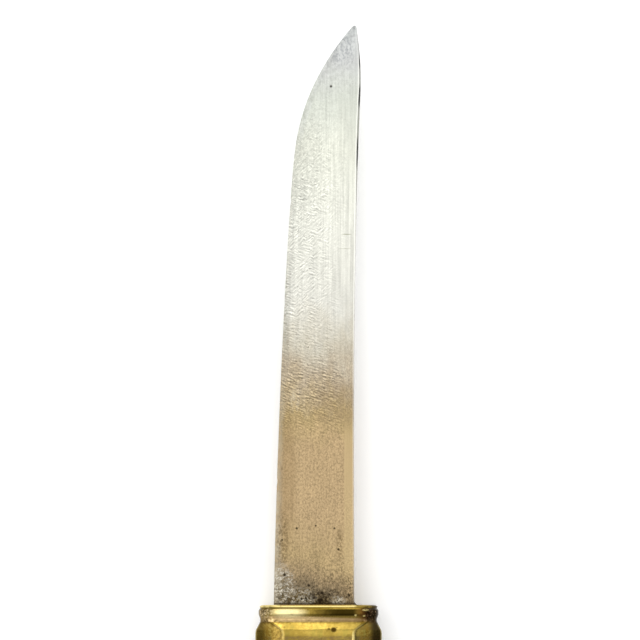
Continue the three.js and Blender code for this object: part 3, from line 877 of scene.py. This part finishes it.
# Bright nicks in the ferrule's corroded corner: place, half width and half length.
BRIGHT_NICKS = ((8.9, -1.0, 0.8, 0.26), (7.0, -2.0, 0.3, 0.24), (8.6, -2.1, 0.34, 0.2))

# Colours along the blade, from the stained heel to the clean tip: partly the steel's stain, partly a painted
# reflection.
STEEL_AND_REFLECTION_ALONG = (
    (0, "5C5038"), (2.5, "6B5F4B"), (5, "817055"), (9, "95825F"), (17, "9C8766"), (30, "9C8766"),
    (36, "96845F"), (43, "998D79"), (50, "A6A193"), (58, "B3B2AA"), (72, "B9B9B0"), (86, "B6B7AC"),
    (96, "ABAEA5"), (103, "A2A3A1"), (110, "A6A9A8"),
)
# Single pits: place and radius.
PITS = (
    (-4.15, 14.6, 0.3), (3.0, 14.6, 0.26), (-0.55, 15.1, 0.24), (3.75, 10.6, 0.32), (-6.9, 12.4, 0.24),
    (5.8, 1.9, 0.34), (-6.45, 5.8, 0.4), (2.35, 98.4, 0.32), (0.65, 2.4, 0.34), (-1.85, 3.75, 0.36),
    (-3.25, 1.25, 0.34), (-2.4, 1.3, 0.32), (2.05, 2.1, 0.26),
)
# Black patches of painted dark reflection on the spine's steep upper bevel: middle and half length of each
# patch.
DARK_REFLECTION_PATCHES = ((103.1, 1.7), (96.6, 2.6), (85.8, 3.8))


def along_blade(f):
    """Starts the colour along the blade, part stain and part painted reflection, its borders drawn unevenly.
    """
    cloud = f.noise(0.2, 0.1, 4, 0.62) - 0.5
    reach = f.y.span(2, 24, 5, 17) * f.y.span(70, 50, 0.5, 1)
    shifted = f.y + cloud * reach
    shifted += f.x * f.y.span(13, 7, 0, 0.4)
    f.ramp(shifted / BLADE_LENGTH, [(y / BLADE_LENGTH, code) for y, code in STEEL_AND_REFLECTION_ALONG])


def strokes(f, slant, along, across, offset=0.0):
    """Painted shading of short crisp scratches: each has a painted highlight on one side and painted shade
    on the other, about a half.

    along and across are their waves per millimetre. A slant above 0 makes them drop towards the spine."""
    drift = f.noise(1.2, 1.0, 4, 0.65, offset=offset + 20)
    drift *= f.y.span(70, 80, 0.75, 1.4)
    level = f.x * slant + (f.y + drift)
    sides = []
    for step in (0, 0.55):
        height = level * across + step
        place = f.node("CombineXYZ", X=f.x * along, Y=height, Z=offset)
        cloud = f.node("TexNoise", Vector=place.outputs[0], Scale=1.0, Detail=2.5)
        sides.append(Value(f, cloud.outputs["Fac"]))
    return (sides[0] - sides[1]).span(-0.2, 0.2)


def steel(name, zone):
    """Old carbon steel on one of the blade's zones, with painted reflection, painted highlights and painted
    shade in its colour.
    """
    f = Finish(name, metallic=1.0)
    stained = f.y.span(62, 34)
    heel = f.y.span(9, 1)
    along_blade(f)
    f.relieve(f.noise(0.6, 0.3, 4, 0.6), 0.3)
    streaked = f.x.span(-0.5, 2.5) * (f.y.span(54, 64) * f.y.span(96, 82))
    streaked = streaked.span(0, 1, 0.5, 0.85)
    f.relieve(f.noise(2.8, 0.07, 3, 0.65), streaked)
    grain = f.noise(3.1, 2.3, 3, 0.75).span(0.3, 0.7)
    swing = stained.span(0, 1, 0.18, 0.7) + f.y.span(12, 2, 0, 0.6)
    if zone == "strip":
        swing *= f.y.span(24, 18, 0.45, 1.3) + f.y.span(33, 38, 0, 0.7)
    f.relieve(grain, swing)
    height = grain * 0.4
    fine = f.noise(0.9, 0.5, 4, 0.7, offset=14)
    if zone in ("ground", "bevel"):
        fall = f.y.span(28, 40) * f.y.span(43, 47, 1.25, 0.68)
        fall *= f.y.span(50, 58, 1, 1.34)
        fall *= f.y.span(102, 74, 0.15, 0.95)
        fall *= f.x.span(5.6, f.y.span(45, 60, 3, -2), 0.12, 1)
        # Painted highlight and shade of the grinding scratches, laid into the colour; the same scratches are
        # also in the bump.
        first = strokes(f, 0.34, 0.9, 2.9)
        second = strokes(f, -0.85, 1.2, 2.5, offset=9)
        turned = f.noise(0.5, 0.3, 3, 0.6, offset=31, deep=0.3).span(0.45, 0.55)
        turned *= f.y.span(46, 58, 0, 0.85)
        both = Value(f, f.mixed(turned, first, second))
        uneven = f.noise(0.9, 0.5, 3, 0.6, offset=51).span(0.35, 0.65, 0.35, 1.25)
        f.relieve(both, fall * uneven * 0.76)
        mottle = f.noise(2.2, 1.7, 3, 0.65, offset=61).span(0.35, 0.62)
        mottled = f.y.span(64, 78) * f.x.span(4, 0, 0.11, 0.2)
        mottled *= f.y.span(102, 88, 0.3, 1)
        mottled = f.most(mottled, f.y.span(93, 100, 0, 0.17))
        f.relieve(mottle, mottled)
        # A mottled patch of painted shade near the tip.
        tip_painted_shade = f.patch(4.4, 105.6, 3.2, 4.2) * mottle.span(0.7, 0.2, 0.05, 0.4)
        f.tint(tip_painted_shade, "6E7277")
        f.shade(f.x.span(1, -3) * f.y.span(62, 82), 1, 0.91)
        height += both * fall * 0.9
    if zone in ("strip", "arris"):
        pale = f.y.span(36, 30) * f.y.span(3, 9)
        f.tint(pale * 0.45, "AE9A72")
    if zone == "arris":
        # The arris is near-white along its length: partly its polish, and partly a painted highlight of its
        # rounded edge.
        bright = f.y.span(4, 90, 0.15, 0.6) * f.y.span(108, 100)
        f.tint(bright, "D8D8D2")
    if zone == "bevel":
        lit = f.y.span(82, 92, 0, 0.34) * fine.span(0.35, 0.6, 0.9, 0.1)
        f.tint(lit, "D0D2CE")
        spots = f.noise(1.3, 0.5, 4, 0.7, offset=7).span(0.54, 0.7)
        f.tint(spots * stained.span(0, 1, 0.1, 0.4), "5B4629")
    if zone == "spine":
        # Painted dark reflection along the spine's upper part, and black patches of it on the steep upper
        # bevel.
        line = f.y.span(70, 80) * f.y.span(108, 104)
        f.tint(line * 0.3, "343230")
        top = f.z.span(0.2, 0.5, 0, 0.9)
        for y, half_length in DARK_REFLECTION_PATCHES:
            scaled = f.patch(7.6, y, 3, half_length) * top
            f.tint(scaled, "0E0E0E")
    from_edge = f.x + f.y * EDGE_LEAN
    ticks = f.noise(1.5, 3.0, 3, 0.6, offset=71).span(0.5, 0.6)
    ticks *= from_edge.span(EDGE_FOOT + 2.3, EDGE_FOOT + 1.4)
    ticks *= f.y.span(46, 52) * f.y.span(88, 80)
    f.tint(ticks * 0.45, "6E6B58")
    rim = from_edge.span(EDGE_FOOT + 1.8, EDGE_FOOT + 0.2) * f.y.span(48, 38)
    rim *= fine.span(0.3, 0.6, 1, 0.45)
    f.tint(rim * 0.85, "ABA28E")
    # A soft brown darkening in a long band down the left of the blade, near the heel.
    left_dark_band = f.patch(-6.0, 24, 2.2, 17) * 0.3
    f.tint(left_dark_band, "735D3C")
    brown = f.patch(3.4, 38.2, 6.0, 5.6) * fine.span(0.3, 0.7, 0.1, 0.6)
    f.tint(brown, "7D6C55")
    scratch = f.most(f.patch(5.3, 70.3, 1.2, 0.16), f.patch(5.0, 67.6, 1.5, 0.14) * 0.6)
    f.tint(scratch * 0.5, "5E6040")
    rubbed = f.noise(2.4, 0.7, 4, 0.7, offset=17).span(0.4, 0.65)
    rubbed = f.patch(-4.5, 38.8, 1.1, 3.2) * rubbed
    f.tint(rubbed * 0.4, "C2B9A4")
    rust = f.noise(2.4, 1.8, 4, 0.75, offset=23).span(0.44, 0.6)
    rust *= f.most(f.patch(4.0, 12.0, 0.8, 4.4), f.patch(-6.9, 12.5, 1.5, 7))
    f.tint(rust * 0.6, "4A3A22")
    blotch = f.noise(1.3, 1.5, 5, 0.8, offset=3)
    dark = blotch.span(0.42, 0.62) * f.y.span(7, 1)
    foot = f.patch(0.2, 1.0, 3.0, 2.4) * blotch.span(0.38, 0.56)
    dark = f.most(dark * 0.5, foot * 0.95)
    f.tint(dark, "241A10")
    pale = f.noise(1.9, 2.3, 6, 0.9, offset=11)
    where = f.most(f.patch(-7.2, 3.6, 3.4, 5.2), f.patch(-3.4, 1.2, 3.6, 2.4))
    where = f.most(where, f.patch(3.7, 0.7, 1.9, 1.3))
    where *= f.noise(0.7, 0.9, 3, 0.6, offset=41).span(0.35, 0.6, 0.25, 1)
    fleck = pale.span(0.48, 0.58) * where
    f.tint(fleck * 0.95, "CDC8BA")
    # A thin dark line of painted shadow along the blade's foot, where it goes into the ferrule.
    line = f.y.span(0.7, 0.35) * 0.75
    f.tint(line, "2B2211")
    pits = f.dots(0.5, 0.12, 0.2) * f.y.span(100, 60, 0.25, 0.8)
    pits = f.most(pits, f.dots(1.7, 0.14, 0.45, offset=4) * heel)
    for x, y, radius in PITS:
        pits = f.most(pits, f.spot(x, y, radius))
    f.tint(pits * 0.85, "241C12")
    roughness = grain * 0.16 + stained.span(0, 1, 0.26, 0.36)
    roughness += f.most(dark, pits) * 0.25
    height -= pits * 1.5
    return f.finish(roughness, height, 0.014)


def brass(name, tarnish, pressed=False):
    """Old brass, from 0 for clean to 1 for brown. The pressed ferrule has its own stains, and painted
    highlights, painted shade and painted reflections.
    """
    f = Finish(name, metallic=1.0)
    cloud = f.noise(0.3, 0.14, 4, 0.6)
    fine = f.noise(1.8, 1.8, 4, 0.7, offset=5)
    f.ramp(cloud, ((0.32, "8C7D38"), (0.46, "A28A40"), (0.6, "937D38"), (0.72, "7E7439")))
    dull = (fine * 0.5 + cloud * 0.5).span(0.4, 0.62)
    f.tint(dull * (0.8 * tarnish), "7C6322")
    hollow = Value(f, f.node("Attribute", {"attribute_name": "hollow"}).outputs["Fac"])
    deep = (hollow + (fine - 0.5) * 0.12).span(0.03, 0.2)
    crest = hollow.span(-0.04, -0.14)
    if pressed:
        front = f.z.span(2, 5)
        fade = f.x.span(-6, 7)
        lowered = f.y + fade * 0.35
        # The neck is painted with a reflection of warm surroundings, light on the left and darker to the
        # right.
        neck = lowered.span(-2.0, -2.35) * f.y.span(-3.35, -3.1)
        f.colour = f.mixed(neck * 0.9, f.colour, f.mixed(fade, rgb("F4D49A"), rgb("B0946A")))
        # Painted shade under the lip's bead.
        under_lip = f.y.span(-1.85, -2.1) * f.y.span(-2.95, -2.6)
        f.shade(under_lip, 1, 0.75)
        # Painted shade on the right half of the shoulder, away from the light on the left.
        slope = f.y.span(-3.1, -3.5) * f.y.span(-4.9, -4.6)
        f.shade(slope * f.x.span(0, 8), 1, 0.6)
        stained = f.y.span(-5.3, -6.2) * f.y.span(-9.5, -7.5)
        f.shade(stained, 1, 0.66)
        greyed = f.y.span(-5.85, -6.1) * f.y.span(-8.6, -6.8)
        greyed *= f.noise(1.4, 4.0, 4, 0.7, offset=91).span(0.36, 0.6)
        f.tint(greyed * 0.6, "5C4A33")
        # The corner facets are darkened in patches: partly tarnish, partly a painted dark reflection of the
        # room's dim sides.
        side = f.maths("ABSOLUTE", f.x).span(7.2, 8.6) * fine.span(0.4, 0.58, 0, 0.9)
        side *= f.y.span(-1.8, -3.0)
        f.tint(side, "7A5F1B")
        # Painted dark reflection down the far left side.
        f.tint(f.x.span(-9.5, -11.0, 0, 0.75), "43350C")
        handled = f.patch(-7.7, -6.4, 1.5, 3.8) * fine.span(0.36, 0.62, 0.95, 0.3)
        f.tint(handled * front, "D9B45A")
        rough = f.noise(3.4, 4.4, 4, 0.75, offset=95)
        battered = f.patch(-10.7, -0.9, 2.2, 1.5) * rough.span(0.36, 0.5, 0.3, 1)
        f.tint(battered * 0.8, "5C4C33")
        worn_lip = f.patch(-9.9, -1.4, 1.7, 1.2) * rough.span(0.5, 0.38)
        f.tint(worn_lip * front, "F4DCAC")
        # The lip's band has a painted highlight on its left and a painted dark reflection over its right.
        band = f.y.span(-0.7, -0.95) * f.y.span(-2.4, -1.9)
        bright = f.patch(-5.6, -1.4, 4.2, 1.3) * front
        f.tint(bright * 0.75, "EBDDA6")
        border = f.x + (fine - 0.5) * 3
        shade = band * border.span(-7, 4) * (front * f.x.span(6.4, 7.8, 1, 0.6))
        f.tint(shade * 0.96, "1E1602")
        groove = f.y.span(-0.42, -0.52) * f.y.span(-1.0, -0.8)
        groove *= f.x.span(0, 4, 0.85, 0.3)
        f.tint(groove * front, "5A480C")
        corner = f.x.span(6.4, 8.8) * f.y.span(-3.6, -2.4)
        corner *= f.y.span(-0.4, -0.8)
        f.tint(corner * 0.82, "4A2810")
        corroded = corner * f.x.span(8.0, 9.4)
        f.tint(corroded * rough.span(0.42, 0.54), "1E1208")
        # Painted dark reflection down the far right side, darker than on the left.
        f.tint(f.x.span(9.0, 10.6) * 0.9, "1B1302")
        crumbs = rough.span(0.42, 0.34) * f.patch(10.4, -1.6, 1.9, 2.2)
        f.tint(crumbs * front * 0.7, "B69A7C")
        deep *= f.y.span(-3.2, -2.2, 1, 0.3)
        # rim is a painted highlight along the lip's top edge, laid on with the crest colour.
        rim = f.y.span(-0.5, -0.42) * f.x.span(7.4, 6.6)
        polished = f.patch(6.6, -6.4, 0.36, 1.8) * front
        ragged = f.noise(5, 7, 2, 0.6, offset=81).span(0.36, 0.5, 0.2, 1)
        for nick in BRIGHT_NICKS:
            spark = f.patch(*nick) * (front * ragged)
            polished = f.most(polished, spark)
        crest = f.most(crest * f.y.span(-2.4, -4.8, 0, 0.35), rim)
        crest = f.most(crest, polished)
        pit = f.most(f.patch(2.85, -4.74, 0.68, 0.56), f.patch(1.95, -4.6, 0.34, 0.3) * 0.5)
        pit *= front
        deep = f.most(deep, pit)
        f.tint(pit * 0.8, "1C1002")
    f.tint(deep * 0.75, "3A2806")
    # Crests are polished by wear; on the ferrule, crest also carries the painted highlight along the lip's
    # edge.
    f.tint(crest * 0.75, "EAD68C")
    stain = f.noise(0.6, 0.9, 5, 0.7, offset=9).span(0.56, 0.7) * (0.7 * tarnish)
    f.tint(stain, "50390F")
    pits = f.dots(0.9, 0.11, 0.22)
    f.tint(pits * 0.6, "2C1F0B")
    rubbed = f.noise(0.5, 7.0, 3, 0.7)
    f.relieve(rubbed, 0.3)
    roughness = fine * 0.2 + 0.12
    roughness += f.most(deep, stain) * 0.28
    height = rubbed * 0.3 - pits * 2
    height += fine * 0.9
    return f.finish(roughness, height, 0.014)


def hardwood(name):
    """Dark oiled rosewood-like hardwood, its grain along the grip."""
    f = Finish(name, coat_weight=0.05, coat_roughness=0.3, specular_ior_level=0.2)
    figure = f.noise(0.16, 0.012, 4, 0.6, distortion=1.4, deep=0.3)
    f.ramp(figure, (
        (0.3, "2C1707"), (0.42, "5A3412"), (0.5, "74491D"), (0.58, "4A2A0C"), (0.7, "825423"),
    ))
    streak = f.noise(1.7, 0.03, 3, 0.6, distortion=0.3)
    f.shade(streak, 0.62, 1.4)
    pore = f.noise(5.5, 0.22, 2, 0.5).span(0.6, 0.7)
    f.tint(pore * 0.85, "120805")
    handled = f.noise(0.12, 0.06, 3, 0.6, offset=2)
    f.shade(handled, 0.75, 1.25)
    roughness = handled * 0.3 + 0.24
    roughness += pore * 0.3
    height = streak * 0.25 - pore
    return f.finish(roughness, height, 0.05)


def fibre(name):
    """Vulcanised fibre: dense, dull and faintly fleecy."""
    f = Finish(name)
    fleece = f.noise(2.2, 2.2, 4, 0.7, distortion=1.0)
    f.ramp(fleece, ((0.3, "5A2419"), (0.7, "7F3B2C")))
    return f.finish(fleece.span(0.3, 0.7, 0.7, 0.9), fleece, 0.05)


def pitch(name):
    """Cutler's pitch, black-brown, crazed and dusty."""
    f = Finish(name)
    grain = f.noise(3.5, 3.5, 4, 0.7)
    f.ramp(grain, ((0.35, "17110B"), (0.6, "2E2316"), (0.75, "574831")))
    return f.finish(grain.span(0.3, 0.7, 0.45, 0.8), grain, 0.1)


# ---- Studio ----


def add_softbox(name, place, target, size, power):
    """A soft rectangular lamp, in metres, which the camera doesn't see."""
    data = bpy.data.lights.new(name, "AREA")
    data.shape = "RECTANGLE"
    data.size, data.size_y = size
    data.energy = power
    lamp = bpy.data.objects.new(name, data)
    lamp.location = place
    lamp.rotation_euler = (Vector(target) - Vector(place)).to_track_quat("-Z", "Y").to_euler()
    lamp.visible_camera = False
    bpy.context.scene.collection.objects.link(lamp)


def add_floor():
    """A plain pale table top, far wider than any view of the knife."""
    half = 12.0
    steps = 24
    mesh = bpy.data.meshes.new("floor")
    work = bmesh.new()
    bmesh.ops.create_grid(work, x_segments=steps, y_segments=steps, size=half)
    work.to_mesh(mesh)
    work.free()
    material = bpy.data.materials.new("floor_paper")
    material.use_nodes = True
    shader = material.node_tree.nodes["Principled BSDF"]
    shader.inputs["Base Color"].default_value = rgb("FBFBFA")
    shader.inputs["Roughness"].default_value = 0.9
    shader.inputs["Specular IOR Level"].default_value = 0.2
    shader.inputs["Emission Color"].default_value = (1, 1, 1, 1)
    shader.inputs["Emission Strength"].default_value = 0.1
    mesh.materials.append(material)
    floor = bpy.data.objects.new("floor", mesh)
    bpy.context.scene.collection.objects.link(floor)


def add_world():
    """White surroundings, brightest high on the left, and a plain pale backdrop past the floor."""
    world = bpy.data.worlds.new("studio")
    bpy.context.scene.world = world
    world.use_nodes = True
    nodes, links = world.node_tree.nodes, world.node_tree.links
    towards = nodes.new("ShaderNodeVectorMath")
    towards.operation = "DOT_PRODUCT"
    towards.inputs[1].default_value = Vector(BRIGHT_SIDE).normalized()
    links.new(nodes.new("ShaderNodeTexCoord").outputs["Generated"], towards.inputs[0])
    glow = nodes.new("ShaderNodeMapRange")
    glow.interpolation_type = "SMOOTHSTEP"
    for socket, value in zip(glow.inputs[1:5], ROOM_GLOW):
        socket.default_value = value
    links.new(towards.outputs["Value"], glow.inputs["Value"])
    room = nodes["Background"]
    room.inputs["Color"].default_value = (1, 1, 1, 1)
    links.new(glow.outputs["Result"], room.inputs["Strength"])
    backdrop = nodes.new("ShaderNodeBackground")
    backdrop.inputs["Color"].default_value = (1, 1, 1, 1)
    either = nodes.new("ShaderNodeMixShader")
    links.new(nodes.new("ShaderNodeLightPath").outputs["Is Camera Ray"], either.inputs["Fac"])
    links.new(room.outputs[0], either.inputs[1])
    links.new(backdrop.outputs[0], either.inputs[2])
    links.new(either.outputs[0], nodes["World Output"].inputs["Surface"])
    bpy.context.scene.view_settings.view_transform = "Standard"


# ---- The knife and its studio ----

BRIGHT_SIDE = (-0.22, 0.3, 0.95)
ROOM_GLOW = (0.1, 0.85, 0.4, 1.3)  # from and to along the bright side, and the light there

add_camera()
add_world()
add_floor()
knife_at = (0, 0.03, 0)
add_softbox("window", (-0.35, 1.5, 0.85), knife_at, (1.4, 0.8), 9)
add_softbox("overhead", (-0.2, 0.2, 1.7), knife_at, (1.3, 1.3), 4)
add_softbox("rear", (0.3, -1.6, 0.75), knife_at, (1.2, 0.6), 6)

steels = [steel(f"steel_{zone}", zone) for zone in ZONES]
ferrule_brass = brass("brass_ferrule", 0.6, pressed=True)
cap_brass = brass("brass_cap", 0.6)
small_brass = brass("brass_small", 0.5)
wire_brass = brass("brass_wire", 0.35)
pitch_black = pitch("pitch_black")
fibre_red = fibre("fibre_red")

add_blade(steels)
add_tang(steels[0])
add_ferrule(ferrule_brass)
add_packing(pitch_black)
add_grip(hardwood("hardwood_oiled"))
add_pommel_cap(cap_brass)
add_burr(small_brass)
add_rivet("ferrule_nail", "ferrule_pin", PIN, GRIP_END[0] + CLEARANCE, small_brass)
add_rivet("bail_rivet", "bail_pivot", PIVOT, BAIL["leg_x"] + BAIL["eye_half"] + CLEARANCE, small_brass)
add_bail(wire_brass)
for node, finish in (("front_washer", fibre_red), ("butt_washer", fibre_red), ("tang_bedding", pitch_black)):
    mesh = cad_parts[node].data
    mesh.materials.clear()
    mesh.materials.append(finish)
